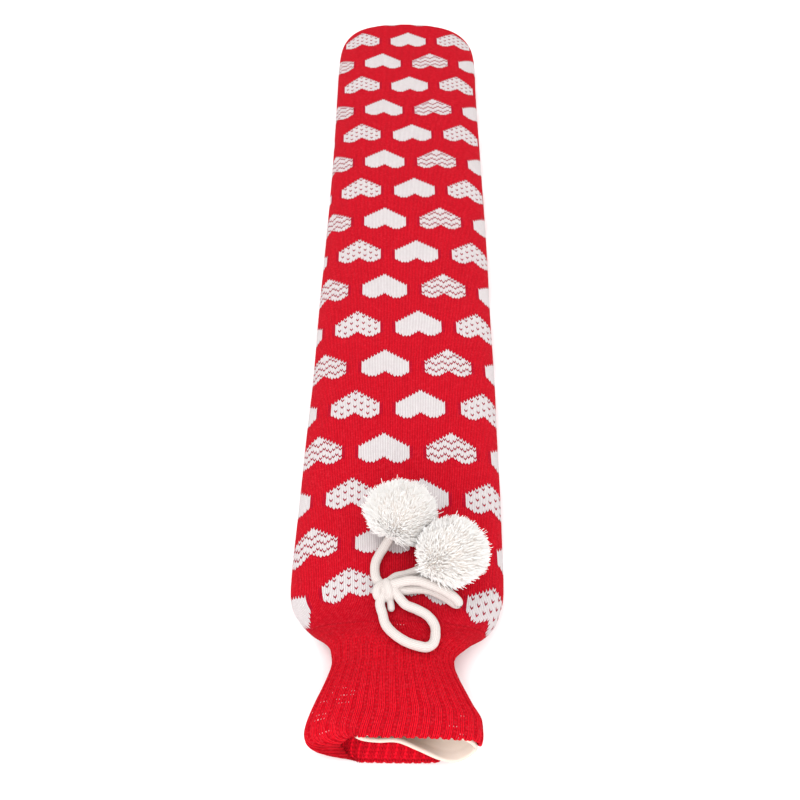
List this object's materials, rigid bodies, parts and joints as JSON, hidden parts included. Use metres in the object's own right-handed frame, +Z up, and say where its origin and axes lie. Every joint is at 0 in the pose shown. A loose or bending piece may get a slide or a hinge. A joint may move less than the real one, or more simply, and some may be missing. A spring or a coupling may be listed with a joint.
{
  "type": "hot water bottle cover with the rubber bottle mouth in its collar",
  "caption": "Knitted cover of an extra-long hot water bottle, red with white hearts, a ribbed collar and a white cord bow with pompoms, lying on its back.",
  "frame": {"origin": "middle of the cover's length and width, on the surface it lies on", "axes": "+Y towards the closed far end, +Z up, the collar opens towards -Y"},
  "size_m": [0.1389, 0.7544, 0.0805],
  "materials": {
    "heart_knit": "matte double-knit, red with white hearts",
    "rib_knit": "matte ribbed knit",
    "rubber": "satin natural rubber",
    "cord": "matte knitted tubular cord",
    "yarn": "fluffy cut yarn"
  },
  "bodies": {
    "root": {"heart_body": "heart_knit", "ribbed_neck": "rib_knit", "bottle_mouth": "rubber", "tie_knot": "cord", "tie_leg": "cord", "tie_loop_front": "cord", "tie_loop_right": "cord", "tie_tail_left": "cord", "tie_tail_right": "cord", "pompom_left": "yarn", "pompom_right": "yarn"}
  },
  "joints": []
}
